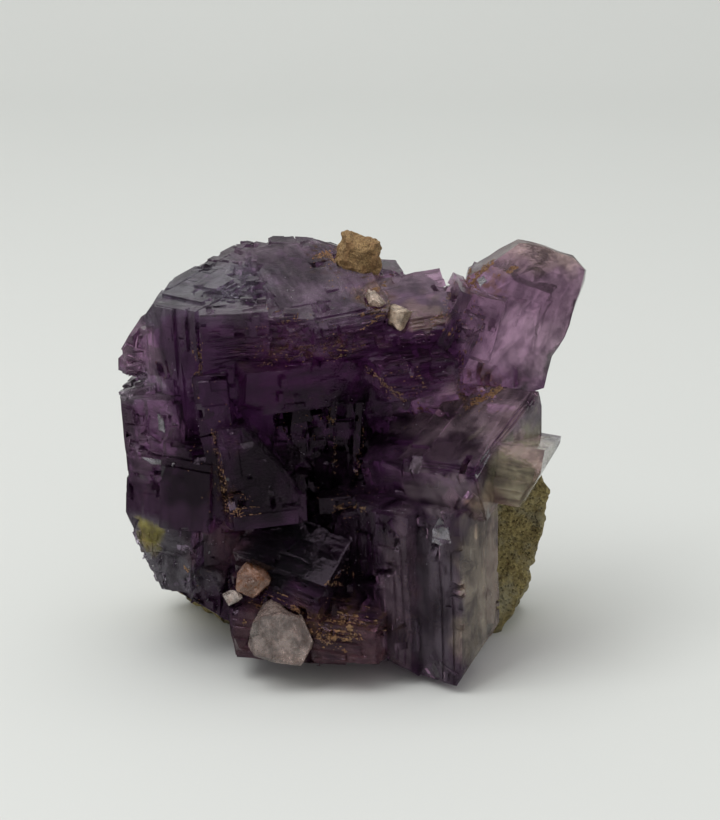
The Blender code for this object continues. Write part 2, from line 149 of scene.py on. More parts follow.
class RockSettings(bpy.types.PropertyGroup):
    grain: FloatProperty(
        name="Grain", description="Edge length of the rough skin", default=0.0007, unit="LENGTH",
    )
    relief: FloatProperty(
        name="Relief", description="Height of the small lumps", default=0.0006, unit="LENGTH",
    )


class StageSettings(bpy.types.PropertyGroup):
    floor_colour: FloatVectorProperty(
        name="Floor colour", description="Colour of the paper under and behind the piece",
        default=(0.655, 0.668, 0.645), size=3, subtype="COLOR", min=0.0, max=1.0,
    )
    sky_strength: FloatProperty(name="Sky strength", description="Even light from all around", default=0.62)
    soft_box_power: FloatProperty(
        name="Soft box power", description="Light of the soft box overhead", default=3.5, unit="POWER",
    )


# ---------------------------------------------------------------- meshes

def merged_copy(node):
    """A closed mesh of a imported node, whose triangles come loose."""
    mesh = bmesh.new()
    mesh.from_mesh(frame["nodes"][node].data)
    bmesh.ops.remove_doubles(mesh, verts=mesh.verts, dist=WELD)
    return mesh


def mark_crystal_axes(mesh):
    """Gives each face the direction of the longest edge of the flat facet that it lies in."""
    along = mesh.faces.layers.float_vector.new("along")
    same_plane = math.cos(math.radians(0.6))
    unseen = set(mesh.faces)
    for seed in mesh.faces:
        if seed not in unseen:
            continue
        unseen.remove(seed)
        facet = [seed]
        for face in facet:
            for edge in face.edges:
                for other in edge.link_faces:
                    if other in unseen and other.normal.dot(face.normal) > same_plane:
                        unseen.remove(other)
                        facet.append(other)
        inside = set(facet)
        rim = [e for face in facet for e in face.edges if any(f not in inside for f in e.link_faces)]
        longest = max(rim or facet[0].edges, key=lambda edge: edge.calc_length())
        direction = (longest.verts[1].co - longest.verts[0].co).normalized()
        for face in facet:
            face[along] = direction
    return along


def halve(edge):
    """Splits an edge at its middle and joins the new point to the far corner of each triangle beside it."""
    middle = bmesh.utils.edge_split(edge, edge.verts[0], 0.5)[1]
    for face in list(middle.link_faces):
        corners = list(face.verts)
        far = corners[(corners.index(middle) + 2) % len(corners)]
        bmesh.utils.face_split(face, middle, far)


def cut_long_edges(mesh, longest):
    """Halves the longest edges until none is longer than the given length."""
    long = True
    while long:
        long = [edge for edge in mesh.edges if edge.calc_length() > longest]
        taken = set()
        for edge in sorted(long, key=lambda edge: -edge.calc_length()):
            if taken.isdisjoint(edge.link_faces):
                taken.update(edge.link_faces)
                halve(edge)
                taken.update(edge.link_faces)


def wander(mesh, grain, height, shift=(0, 0, 0)):
    """Moves every point by a smooth random vector field of one grain size, and none below the ground."""
    offset = Vector(shift)
    for vert in mesh.verts:
        vert.co += Vector(noise.noise_vector(vert.co / grain + offset)) * height
        vert.co.z = max(vert.co.z, 0.0)


def crumple_wing(mesh):
    """Makes the wing wavy and knobbly from a start in x and z on. Waves have a grain and a height."""
    start, span, waves, knobs = (17.0, 38.0), 9.0, (4.5, 0.55), (1.6, 0.12)
    offset = Vector((2, 6, 4))
    for vert in mesh.verts:
        out = (vert.co.x / MM - start[0]) / span
        up = (vert.co.z / MM - start[1]) / span
        share = max(0.0, min(1.0, out, up * 2))
        wave = Vector(noise.noise_vector(vert.co / (waves[0] * MM) + offset))
        knob = Vector(noise.noise_vector(vert.co / (knobs[0] * MM) - offset))
        vert.co += (wave * waves[1] + knob * knobs[1]) * share * MM
        vert.co.z = max(vert.co.z, 0.0)


def axes_of(face, along):
    """The facet's own right-handed axes: along its longest edge, across it, and out of it."""
    out = face.normal
    first = face[along] - out * face[along].dot(out)
    if first.length < WELD:
        first = out.orthogonal()
    first.normalize()
    return first, out.cross(first), out


def lay_uv(face, layer, first, second):
    for loop in face.loops:
        loop[layer].uv = (loop.vert.co.dot(first) / MM, loop.vert.co.dot(second) / MM)


def piece_from(mesh, name, home=None):
    """An object made of the mesh, in the scene or in a collection of operands."""
    data = bpy.data.meshes.new(name)
    mesh.to_mesh(data)
    mesh.free()
    made = bpy.data.objects.new(name, data)
    home = home or bpy.context.scene.collection
    home.objects.link(made)
    return made


def block(centre, first, second, out, sides):
    """A block with its own axes and its pattern laid along them."""
    mesh = bmesh.new()
    turn = Matrix((first, second, out)).transposed().to_4x4()
    place = Matrix.Translation(centre) @ turn @ Matrix.Diagonal((*sides, 1.0))
    bmesh.ops.create_cube(mesh, size=1.0, matrix=place)
    layer = mesh.loops.layers.uv.new(CRYSTAL_UV)
    for face in mesh.faces:
        normal = face.normal
        pair = [axis for axis in (first, second, out) if abs(axis.dot(normal)) < 0.7][:2]
        lay_uv(face, layer, *pair)
    return mesh


def jittered(first, second, out, dice, degrees):
    spin = Euler([math.radians(dice.uniform(-degrees, degrees)) for _ in range(3)]).to_matrix()
    return spin @ first, spin @ second, spin @ out


def point_in(face, dice):
    """A random point of a triangle."""
    a, b = dice.random(), dice.random()
    if a + b > 1:
        a, b = 1 - a, 1 - b
    p, q, r = [vert.co for vert in face.verts[:3]]
    return p + (q - p) * a + (r - p) * b


def boolean(target, operation, operands):
    """Joins or cuts with everything in a collection, then removes the collection."""
    tool = target.modifiers.new(operation.lower(), "BOOLEAN")
    tool.operation = operation
    tool.operand_type = "COLLECTION"
    tool.collection = operands
    tool.solver = "MANIFOLD"
    bpy.context.view_layer.update()
    graph = bpy.context.evaluated_depsgraph_get()
    settled = bpy.data.meshes.new_from_object(target.evaluated_get(graph))
    target.modifiers.clear()
    target.data = settled
    for used in list(operands.objects):
        bpy.data.objects.remove(used)
    bpy.data.collections.remove(operands)


def operand_collection(name):
    made = bpy.data.collections.new(name)
    bpy.context.scene.collection.children.link(made)
    return made


def lies_on_facet(surface, spot, axes, wide, tall):
    """True where the corners and the middles of a plate's sides lie over the same flat facet."""
    first, second, out = axes
    above, reach, uneven, cosine = 0.4 * MM, 0.8 * MM, 0.12 * MM, 0.98
    for across, up in ((-0.5, -0.5), (0.5, -0.5), (0.5, 0.5), (-0.5, 0.5), (0, 0.5), (0, -0.5), (0.5, 0), (-0.5, 0)):
        corner = spot + first * across * wide + second * up * tall + out * above
        hit, normal, _, away = surface.ray_cast(corner, -out, reach)
        if hit is None or normal.dot(out) < cosine or abs(away - above) > uneven:
            return False
    return True


def inside(place, centre, reach):
    """True where a place in metres lies in an oval given in millimetres."""
    return sum(((part / MM - middle) / limit) ** 2 for part, middle, limit in zip(place, centre, reach)) < 1


def camera_turn():
    return (Vector(CAMERA_AIM) - Vector(CAMERA_EYE)).to_track_quat("-Z", "Y")


def seen_at(surface, pixel):
    """The point of the surface that the camera sees at a place in its picture."""
    pitch = CAMERA_SENSOR / CAMERA_LENS / PICTURE_WIDTH
    across, up = pixel[0] - PICTURE_WIDTH / 2, PICTURE_HEIGHT / 2 - pixel[1]
    aim = camera_turn() @ Vector((across * pitch, up * pitch, -1))
    spot, _, _, _ = surface.ray_cast(Vector(CAMERA_EYE) * MM, aim)
    if spot is None:
        raise ValueError(f"no crystal at {pixel}")
    return spot


def step_edges(surface, home, dice):
    """Chains of thin bars that follow a line over the faces, broken here and there."""
    length, gaps, turn = 1.6, 0.1, 3
    stretch, widths, heights = (1.0, 1.6), (0.15, 0.45), (0.25, 0.6)
    for pixels in STEP_EDGES.values():
        points = [seen_at(surface, pixel) for pixel in pixels]
        for start, end in zip(points, points[1:]):
            bars = max(1, round((end - start).length / (length * MM)))
            for bar in range(bars):
                spot, out, _, _ = surface.find_nearest(start.lerp(end, (bar + 0.5) / bars))
                first = (end - start) - out * (end - start).dot(out)
                if dice.random() < gaps or first.length < WELD:
                    continue
                first.normalize()
                first, second, out = jittered(first, out.cross(first), out, dice, turn)
                long = (end - start).length / bars * dice.uniform(*stretch)
                sides = (long, dice.uniform(*widths) * MM, dice.uniform(*heights) * MM)
                piece_from(block(spot, first, second, out, sides), f"bar_{len(home.objects)}", home)


def growth_plates(mesh, along, settings, dice):
    """Stacks of thin plates that step back from one corner, in the turn of the face they grow on."""
    finest, turn, storeys = 0.12, 0.5, (1, 1, 2, 2, 3)
    climbs, shrinks, shifts = (0.5, 1.7), (0.6, 0.9), (0.1, 0.5)
    home = operand_collection("growth_plates")
    surface = BVHTree.FromBMesh(mesh)
    step_edges(surface, home, dice)
    faces = []
    for face in mesh.faces:
        middle = face.calc_center_median()
        smooth = any(inside(middle, *patch) for patch in SMOOTH_PATCHES)
        if face.calc_area() > (finest * MM) ** 2 and not smooth:
            faces.append((face, middle, face.calc_area()))
    for centre, reach, count, widths, shares, rises in PLATE_PATCHES.values():
        near = [(face, area) for face, middle, area in faces if inside(middle, centre, reach)]
        weights = [area for _, area in near]
        for face, _ in dice.choices(near, weights=weights, k=int(count * settings.growth)):
            spot = point_in(face, dice)
            first, second, out = jittered(*axes_of(face, along), dice, turn)
            wide = math.exp(dice.uniform(math.log(widths[0]), math.log(widths[1]))) * MM
            tall = max(wide * dice.uniform(*shares), finest * MM)
            if not lies_on_facet(surface, spot, (first, second, out), wide, tall):
                continue
            lean = (dice.choice((-1, 1)), dice.choice((-1, 1)))
            rise = 0.0
            for _ in range(dice.choice(storeys)):
                rise += settings.plate_rise * rises * dice.uniform(*climbs)
                made = block(spot, first, second, out, (wide, tall, 2 * rise))
                piece_from(made, f"plate_{len(home.objects)}", home)
                shrink_wide, shrink_tall = dice.uniform(*shrinks), dice.uniform(*shrinks)
                spot = spot + first * lean[0] * wide * (1 - shrink_wide) * dice.uniform(*shifts)
                spot = spot + second * lean[1] * tall * (1 - shrink_tall) * dice.uniform(*shifts)
                wide, tall = wide * shrink_wide, tall * shrink_tall
    return home


def edge_chips(mesh, count, deepest, dice):
    """Blocks that cut small slanted facets into the outward edges, as knocks do."""
    angle, turn, shallowest, lengths, side = math.radians(40), 14, 0.03, (3, 14), 3.0 * MM
    home = operand_collection("edge_chips")
    sharp = []
    for edge in mesh.edges:
        whole = any(inside(edge.verts[0].co, *patch) for patch in UNCHIPPED_PATCHES)
        outward = len(edge.link_faces) == 2 and edge.is_convex
        if outward and edge.calc_face_angle(0) > angle and not whole:
            sharp.append(edge)
    weights = [edge.calc_length() for edge in sharp]
    for number, edge in enumerate(dice.choices(sharp, weights=weights, k=count)):
        start, end = edge.verts[0].co, edge.verts[1].co
        spot = start.lerp(end, dice.random())
        out = (edge.link_faces[0].normal + edge.link_faces[1].normal).normalized()
        first = (end - start).normalized()
        first, second, out = jittered(first, out.cross(first), out, dice, turn)
        depth = math.exp(dice.uniform(math.log(shallowest), math.log(deepest))) * MM
        long = depth * dice.uniform(*lengths)
        middle = spot + out * (side / 2 - depth)
        piece_from(block(middle, first, second, out, (long, side, side)), f"chip_{number}", home)
    return home


def smooth_faces(piece, degrees):
    """Shades gentle waves smooth and keeps every edge steeper than the angle sharp."""
    for face in piece.data.polygons:
        face.use_smooth = True
    piece.data.set_sharp_from_angle(angle=math.radians(degrees))


def dress(piece, look, slot, *nodes):
    """Gives a piece its material and body, and has it stand for the nodes. The slot is not used."""
    piece.data.materials.clear()
    piece.data.materials.append(look)
    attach(piece, "root")
    if nodes:
        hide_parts(*nodes)
    return piece


# ---------------------------------------------------------------- node helpers

def new_node(tree, kind, **values):
    made = tree.nodes.new(kind)
    for key, value in values.items():
        setattr(made, key, value)
    return made


def feed(tree, socket, source):
    """Links a socket, or sets its plain value."""
    if isinstance(source, bpy.types.NodeSocket):
        tree.links.new(source, socket)
    else:
        socket.default_value = source


def maths(tree, operation, first, second=0.0, third=None):
    made = new_node(tree, "ShaderNodeMath", operation=operation)
    feed(tree, made.inputs[0], first)
    feed(tree, made.inputs[1], second)
    if third is not None:
        feed(tree, made.inputs[2], third)
    return made.outputs[0]


def vector_maths(tree, operation, first, second=(0, 0, 0), output=0):
    made = new_node(tree, "ShaderNodeVectorMath", operation=operation)
    feed(tree, made.inputs[0], first)
    feed(tree, made.inputs[1], second)
    return made.outputs[output]


def ramp(tree, value, low, high, to_low=0.0, to_high=1.0):
    made = new_node(tree, "ShaderNodeMapRange", interpolation_type="SMOOTHSTEP")
    for socket, source in zip(made.inputs, (value, low, high, to_low, to_high)):
        feed(tree, socket, source)
    return made.outputs[0]


def blend(tree, share, first, second):
    made = new_node(tree, "ShaderNodeMix", data_type="RGBA")
    feed(tree, made.inputs[0], share)
    feed(tree, made.inputs[6], first)
    feed(tree, made.inputs[7], second)
    return made.outputs[2]


def lumps(tree, vector, scale, detail=3.0, roughness=0.55, output="Fac"):
    made = new_node(tree, "ShaderNodeTexNoise")
    feed(tree, made.inputs["Vector"], vector)
    made.inputs["Scale"].default_value = scale
    made.inputs["Detail"].default_value = detail
    made.inputs["Roughness"].default_value = roughness
    return made.outputs[output]


def cells(tree, vector, scale, metric="CHEBYCHEV"):
    made = new_node(tree, "ShaderNodeTexVoronoi", distance=metric)
    feed(tree, made.inputs["Vector"], vector)
    made.inputs["Scale"].default_value = scale
    return made


def bump(tree, height, distance):
    made = new_node(tree, "ShaderNodeBump")
    made.inputs["Distance"].default_value = distance
    feed(tree, made.inputs["Height"], height)
    return made.outputs["Normal"]


def darken_inside(tree, output, colour, density):
    """Absorbs light along its way through the piece."""
    depth = new_node(tree, "ShaderNodeVolumeAbsorption")
    depth.inputs["Color"].default_value = (*colour, 1.0)
    depth.inputs["Density"].default_value = density
    tree.links.new(depth.outputs[0], output.inputs["Volume"])


def soft_spot_group():
    """A soft oval mask. Scale is one over the reach, and Offset moves the centre to zero."""
    tree = bpy.data.node_groups.get("soft_spot")
    if tree:
        return tree
    tree = bpy.data.node_groups.new("soft_spot", "ShaderNodeTree")
    for label in ("Position", "Scale", "Offset"):
        tree.interface.new_socket(label, in_out="INPUT", socket_type="NodeSocketVector")
    for label in ("Inner", "Outer", "Share"):
        tree.interface.new_socket(label, in_out="INPUT", socket_type="NodeSocketFloat")
    tree.interface.new_socket("Mask", in_out="OUTPUT", socket_type="NodeSocketFloat")
    given = tree.nodes.new("NodeGroupInput").outputs
    scaled = new_node(tree, "ShaderNodeVectorMath", operation="MULTIPLY_ADD")
    for socket, name in zip(scaled.inputs, ("Position", "Scale", "Offset")):
        feed(tree, socket, given[name])
    away = vector_maths(tree, "LENGTH", scaled.outputs[0], output=1)
    mask = ramp(tree, away, given["Inner"], given["Outer"], given["Share"], 0.0)
    tree.links.new(mask, tree.nodes.new("NodeGroupOutput").inputs["Mask"])
    return tree


def soft_spot(tree, position, centre, reach, softness, share=1.0):
    """Places the mask round a centre, both in millimetres."""
    made = new_node(tree, "ShaderNodeGroup", node_tree=soft_spot_group())
    given = {
        "Position": position, "Scale": [1 / limit for limit in reach],
        "Offset": [-middle / limit for middle, limit in zip(centre, reach)],
        "Inner": 1 - softness, "Outer": 1 + softness, "Share": share,
    }
    for label, source in given.items():
        feed(tree, made.inputs[label], source)
    return made.outputs["Mask"]


def grown_steps(tree, pattern, position):
    """Fine growth tiles along the crystal's own axes, with pits between them, as a height."""
    tone = new_node(tree, "ShaderNodeSeparateColor")
    feed(tree, tone.inputs[0], cells(tree, pattern, 0.9).outputs["Color"])
    pits = lumps(tree, position, 2.6, 1.0, 0.65)
    return maths(tree, "MULTIPLY_ADD", pits, 0.6, maths(tree, "MULTIPLY", tone.outputs[0], 0.6))


def object_mm(tree):
    coords = new_node(tree, "ShaderNodeTexCoord")
    return vector_maths(tree, "MULTIPLY", coords.outputs["Object"], (1 / MM, 1 / MM, 1 / MM))


def blank_material(name):
    made = bpy.data.materials.new(name)
    made.use_nodes = True
    tree = made.node_tree
    return made, tree, tree.nodes["Principled BSDF"], tree.nodes["Material Output"]


# Colour zones of the cluster: colour (linear), centre, reach, softness.
FLUORITE_ZONES = {
    # Crown roof: its pale grey is partly its hazy skin and partly painted sheen of the overhead light.
    "crown": ((0.43, 0.34, 0.41), (-8, 0, 53), (22, 14, 5.5), 0.3),
    # Left roof facet: painted paler than the rest of the roof, as painted light.
    "crown_left": ((0.42, 0.40, 0.46), (-20, 0, 51), (9, 9, 5), 0.4),
    "ledges": ((0.21, 0.10, 0.18), (-8, -8, 46.5), (15, 6, 3), 0.3),
    "plum_band": ((0.09, 0.018, 0.08), (-8, -9, 41.5), (12, 7, 3.5), 0.3),
    "left_wall_high": ((0.10, 0.05, 0.10), (-20, -8, 41), (6, 7, 8), 0.4),
    "left_lobe": ((0.62, 0.40, 0.55), (-29, -3, 43.5), (4.5, 6, 4), 0.35),
    "left_lobe_low": ((0.60, 0.54, 0.60), (-29, -4, 38.8), (4, 6, 2.6), 0.3),
    "left_wall": ((0.36, 0.22, 0.33), (-27, -7, 33), (5, 7, 6), 0.4),
    "left_plum": ((0.008, 0.002, 0.008), (-20, -10, 29), (5.5, 7, 6), 0.35),
    "left_foot": ((0.42, 0.40, 0.44), (-25, -5, 15), (7, 9, 6), 0.4),
    "left_rose": ((0.50, 0.25, 0.30), (-17, -8, 17), (4, 5, 4), 0.5),
    "yellow_spot": ((0.85, 0.76, 0.22), (-27.6, -6.4, 18.2), (1.6, 3, 2.1), 0.5),
    # Hollow: deep purple darkened to near black, as painted shade in the recess.
    "hollow": ((0.008, 0.004, 0.008), (-3, -4, 34), (10, 8.5, 7), 0.3),
    # Low hollow: near black, as painted shadow under the block above and painted shade low in the recess.
    "hollow_low_painted_shade": ((0.010, 0.006, 0.010), (-7, -7, 24), (10, 7, 4), 0.3),
    "diagonal_block": ((0.02, 0.016, 0.02), (-12, -14, 30), (5, 6, 7), 0.35),
    "plate": ((0.05, 0.045, 0.055), (-7, -11, 17.5), (9, 7, 4.5), 0.3),
    "front_block": ((0.30, 0.16, 0.18), (-5, -15, 6), (13, 8, 5.5), 0.35),
    "dark_columns": ((0.055, 0.03, 0.055), (1, -11, 18), (5, 6, 8), 0.35),
    "saddle": ((0.56, 0.38, 0.50), (8, 1, 51.5), (7, 6, 4), 0.35),
    "saddle_sand": ((0.90, 0.68, 0.52), (9.5, -4, 48.7), (3.2, 4, 1.8), 0.35),
    "saddle_low": ((0.12, 0.05, 0.11), (8.5, -8, 44), (6.5, 7, 3.5), 0.3),
    "wing": ((0.37, 0.25, 0.32), (25, 2, 50), (10, 9, 9), 0.3),
    "wing_top": ((0.60, 0.46, 0.42), (27, 2, 56.5), (8, 9, 2.6), 0.4),
    "wing_low": ((0.58, 0.44, 0.50), (22, 2, 43), (7, 9, 5), 0.35),
    "tilted_face": ((0.68, 0.48, 0.57), (16, -7, 36), (9, 12, 5), 0.35),
    "tilted_foot": ((0.50, 0.37, 0.44), (12, -15, 28.5), (6, 6, 2.6), 0.4),
    "tilted_middle": ((0.16, 0.10, 0.14), (13, -12.5, 33), (5.5, 4, 2.6), 0.5),
    "wing_root": ((0.50, 0.34, 0.43), (17, 0, 48), (3.5, 5, 5), 0.4),
    "crown_sand": ((0.62, 0.46, 0.38), (3.2, -2, 51.3), (2.2, 5, 2.6), 0.4),
    "clear_cube": ((1.0, 0.92, 0.62), (23, -11, 28.5), (6.5, 10, 7), 0.25),
    "clear_cube_left": ((0.90, 0.66, 0.50), (19, -15, 26.5), (3, 4, 2.5), 0.5),
    "column_beige": ((0.90, 0.76, 0.60), (17.5, -15, 13), (4.5, 8, 12), 0.3),
    "column_grey": ((0.30, 0.24, 0.30), (11, -16, 13), (4, 6, 13), 0.35),
    "column_mauve": ((0.36, 0.25, 0.32), (6.5, -16, 14), (2.2, 6, 12), 0.35),
}
# Rust stains that the crystal shows in its skin: centre, reach, share.
RUST_STAINS = (
    ((-1, 4, 55), (4, 6, 2.5), 0.8),
    ((3.4, -3, 51), (2.0, 6, 2.8), 0.8),
    ((-5, -9.5, 46), (9, 4, 1.0), 0.8),
    ((-3, -15.5, 9.8), (8, 5, 1.6), 0.9),
    ((17, -2.5, 38.5), (4.5, 5, 2.2), 0.8),
    ((17.5, 1, 53.8), (3.4, 5, 3.0), 0.9),
    ((-16.8, -14, 28.5), (1.6, 3, 6), 0.8),
)
DEEP_PURPLE, DARK_CLOUD = (0.13, 0.06, 0.13, 1.0), (0.05, 0.02, 0.05, 1.0)
RUST_DARK, RUST_LIGHT = (0.16, 0.065, 0.02, 1.0), (0.42, 0.26, 0.11, 1.0)
# Index of refraction, then level and tint of the reflections, or colour and strength of the absorption.
FLUORITE_IOR, FLUORITE_LEVEL, FLUORITE_TINT = 1.434, 0.34, (0.45, 0.34, 0.45, 1.0)
QUARTZ_IOR, QUARTZ_KEEPS, QUARTZ_DENSITY = 1.544, (0.75, 0.62, 0.58), 90.0
# Heights of the finest relief, in metres.
TILE_RELIEF, ROCK_RELIEF, QUARTZ_RELIEF = 0.00006, 0.00025, 0.00012
# Rough looks: dark, light and patch colour, and how fine the grain is.
ROUGH_LOOKS = {
    "host_rock": ((0.11, 0.08, 0.022, 1.0), (0.34, 0.28, 0.11, 1.0), (0.27, 0.25, 0.16, 1.0), 0.8),
    "iron_oxide": ((0.10, 0.055, 0.02, 1.0), (0.44, 0.29, 0.13, 1.0), (0.20, 0.10, 0.04, 1.0), 2.0),
    "rust_film": ((0.08, 0.034, 0.014, 1.0), (0.30, 0.18, 0.09, 1.0), (0.22, 0.09, 0.035, 1.0), 1.2),
}
# Painted shade laid into the pits of the rough looks, where the bump sinks them.
PIT_SHADE = (0.03, 0.024, 0.012, 1.0)
# Pale crystals: tint, stain, share of the stain, and clearness.
QUARTZ_LOOKS = {
    "quartz_front": ((0.29, 0.23, 0.21, 1.0), (0.14, 0.07, 0.05, 1.0), 0.5, 0.75),
    "quartz_side": ((0.26, 0.15, 0.11, 1.0), (0.24, 0.09, 0.03, 1.0), 0.85, 0.5),
    "quartz_side_small": ((0.36, 0.31, 0.28, 1.0), (0.24, 0.09, 0.03, 1.0), 0.3, 0.5),
    "pale_grain": ((0.36, 0.28, 0.21, 1.0), (0.16, 0.08, 0.05, 1.0), 0.4, 0.5),
    "pale_grain_small": ((0.32, 0.25, 0.20, 1.0), (0.16, 0.08, 0.05, 1.0), 0.4, 0.5),
}
# Look of the pale flakes, also worn by the specks that stand as painted glints: tint, stain, share of the stain, and
# clearness.
FLAKE_AND_GLINT_LOOK = ((0.17, 0.16, 0.18, 1.0), (0.3, 0.22, 0.2, 1.0), 0.3, 0.6)


def fluorite_material(settings):
    made, tree, shader, output = blank_material("purple_fluorite")
    position = object_mm(tree)
    pattern = new_node(tree, "ShaderNodeUVMap", uv_map=CRYSTAL_UV).outputs[0]
    ragged = lumps(tree, position, 0.3, 1.0, 0.5, output="Color")
    spread = vector_maths(tree, "SUBTRACT", ragged, (0.5, 0.5, 0.5))
    warped = vector_maths(tree, "ADD", position, vector_maths(tree, "MULTIPLY", spread, (7, 7, 7)))
    colour = DEEP_PURPLE
    for tint, centre, reach, softness in FLUORITE_ZONES.values():
        colour = blend(tree, soft_spot(tree, warped, centre, reach, softness), colour, (*tint, 1.0))
    patch = lumps(tree, position, 0.5, 2.0, 0.6)
    colour = blend(tree, ramp(tree, patch, 0.45, 0.7, 0.0, 0.5), colour, DARK_CLOUD)
    bands = lumps(tree, vector_maths(tree, "MULTIPLY", pattern, (0.10, 0.75, 1.0)), 1.0, 1.0, 0.6)
    clouds = lumps(tree, position, 0.16, 1.0, 0.5)
    streaks = maths(tree, "MULTIPLY_ADD", bands, 0.5, maths(tree, "MULTIPLY", clouds, 0.5))
    light = ramp(tree, streaks, 0.36, 0.64, 0.55, 1.5)
    colour = vector_maths(tree, "MULTIPLY", colour, light)
    rust_tone = blend(tree, lumps(tree, position, 1.4, 2.0), RUST_DARK, RUST_LIGHT)
    speckle = ramp(tree, lumps(tree, position, 1.1, 3.0, 0.7), 0.48, 0.6)
    stain = 0.0
    for centre, reach, share in RUST_STAINS:
        stain = maths(tree, "MAXIMUM", stain, soft_spot(tree, warped, centre, reach, 0.4, share))
    colour = blend(tree, maths(tree, "MULTIPLY", stain, speckle), colour, rust_tone)
    feed(tree, shader.inputs["Base Color"], colour)
    feed(tree, shader.inputs["Roughness"], ramp(tree, patch, 0.35, 0.7, 0.05, 0.26))
    shader.inputs["IOR"].default_value = FLUORITE_IOR
    shader.inputs["Specular IOR Level"].default_value = FLUORITE_LEVEL
    shader.inputs["Specular Tint"].default_value = FLUORITE_TINT
    shader.inputs["Transmission Weight"].default_value = settings.clearness
    feed(tree, shader.inputs["Normal"], bump(tree, grown_steps(tree, pattern, position), TILE_RELIEF))
    darken_inside(tree, output, settings.absorbed, settings.density)
    return made


def rough_material(name):
    dark, light, patch_colour, scale = ROUGH_LOOKS[name]
    made, tree, shader, _ = blank_material(name)
    position = object_mm(tree)
    coarse = lumps(tree, position, 0.3 * scale, 6.0, 0.75)
    fine = lumps(tree, position, 2.2 * scale, 5.0, 0.7)
    colour = blend(tree, ramp(tree, fine, 0.3, 0.7), dark, light)
    colour = blend(tree, ramp(tree, coarse, 0.42, 0.66, 0.0, 0.75), colour, patch_colour)
    # The pits get painted shade, and the same mask sinks them in the bump.
    grit = cells(tree, position, 2.4 * scale, metric="EUCLIDEAN")
    pits = ramp(tree, grit.outputs["Distance"], 0.0, 0.5)
    colour = blend(tree, ramp(tree, pits, 0.0, 0.35, 0.55, 0.0), colour, PIT_SHADE)
    feed(tree, shader.inputs["Base Color"], colour)
    feed(tree, shader.inputs["Roughness"], ramp(tree, fine, 0.2, 0.8, 0.7, 0.95))
    height = maths(tree, "MULTIPLY_ADD", fine, 0.8, pits)
    feed(tree, shader.inputs["Normal"], bump(tree, height, ROCK_RELIEF / scale))
    return made


def quartz_material(name, tint, stain, stain_share, clearness):
    made, tree, shader, output = blank_material(name)
    position = object_mm(tree)
    cloud = lumps(tree, position, 0.45, 3.0, 0.6)
    fine = lumps(tree, position, 2.4, 2.0, 0.65)
    milky = tuple(min(1.0, 2.6 * part + 0.05) for part in tint)
    colour = blend(tree, ramp(tree, cloud, 0.42, 0.62, 0.0, 0.9), tint, milky)
    veins = ramp(tree, lumps(tree, position, 1.1, 3.0, 0.65), 0.5, 0.62, 0.0, stain_share)
    colour = blend(tree, veins, colour, stain)
    feed(tree, shader.inputs["Base Color"], colour)
    feed(tree, shader.inputs["Roughness"], ramp(tree, fine, 0.3, 0.7, 0.12, 0.42))
    shader.inputs["IOR"].default_value = QUARTZ_IOR
    shader.inputs["Transmission Weight"].default_value = clearness
    feed(tree, shader.inputs["Normal"], bump(tree, fine, QUARTZ_RELIEF))
    darken_inside(tree, output, QUARTZ_KEEPS, QUARTZ_DENSITY)
    return made


def paper_material(colour):
    made, tree, shader, _ = blank_material("pale_paper")
    position = object_mm(tree)
    mottle = lumps(tree, position, 0.02, 3.0)
    low = [channel * 0.985 for channel in colour]
    feed(tree, shader.inputs["Base Color"], blend(tree, mottle, (*low, 1.0), (*colour, 1.0)))
    shader.inputs["Roughness"].default_value = 0.9
    shader.inputs["Specular IOR Level"].default_value = 0.2
    return made


# ---------------------------------------------------------------- operators

class FLUORITE_OT_cluster(bpy.types.Operator):
    """Builds the intergrown purple cubes with their growth plates and chipped edges"""

    bl_idname = "fluorite.cluster"
    bl_label = "Fluorite cluster"

    def execute(self, context):
        settings = context.scene.fluorite_crystal
        dice = random.Random(SEED)
        mesh = merged_copy("fluorite_cluster")
        along = mark_crystal_axes(mesh)
        cut_long_edges(mesh, longest=3.0 * MM)
        wander(mesh, grain=9 * MM, height=settings.warp)
        wander(mesh, grain=2.6 * MM, height=settings.warp / 3, shift=(5, 3, 8))
        crumple_wing(mesh)
        mesh.normal_update()
        layer = mesh.loops.layers.uv.new(CRYSTAL_UV)
        for face in mesh.faces:
            first, second, _ = axes_of(face, along)
            lay_uv(face, layer, first, second)
        plates = growth_plates(mesh, along, settings, dice)
        chips = edge_chips(mesh, settings.chips, deepest=0.2, dice=dice)
        piece = piece_from(mesh, "fluorite_cluster_fine")
        boolean(piece, "UNION", plates)
        boolean(piece, "DIFFERENCE", chips)
        smooth_faces(piece, degrees=15)
        dress(piece, fluorite_material(settings), "purple_fluorite", "fluorite_cluster")
        return {"FINISHED"}


class FLUORITE_OT_rock(bpy.types.Operator):
    """Builds the rough host rock behind the crystals"""

    bl_idname = "fluorite.rock"
    bl_label = "Host rock"

    def execute(self, context):
        settings = context.scene.fluorite_rock
        mesh = merged_copy("rock_matrix")
        cut_long_edges(mesh, settings.grain)
        wander(mesh, grain=3.0 * MM, height=settings.relief, shift=(3, 1, 2))
        wander(mesh, grain=1.2 * MM, height=settings.relief * 0.7, shift=(8, 5, 1))
        piece = piece_from(mesh, "rock_matrix_fine")
        dress(piece, rough_material("host_rock"), "host_rock", "rock_matrix")
        return {"FINISHED"}


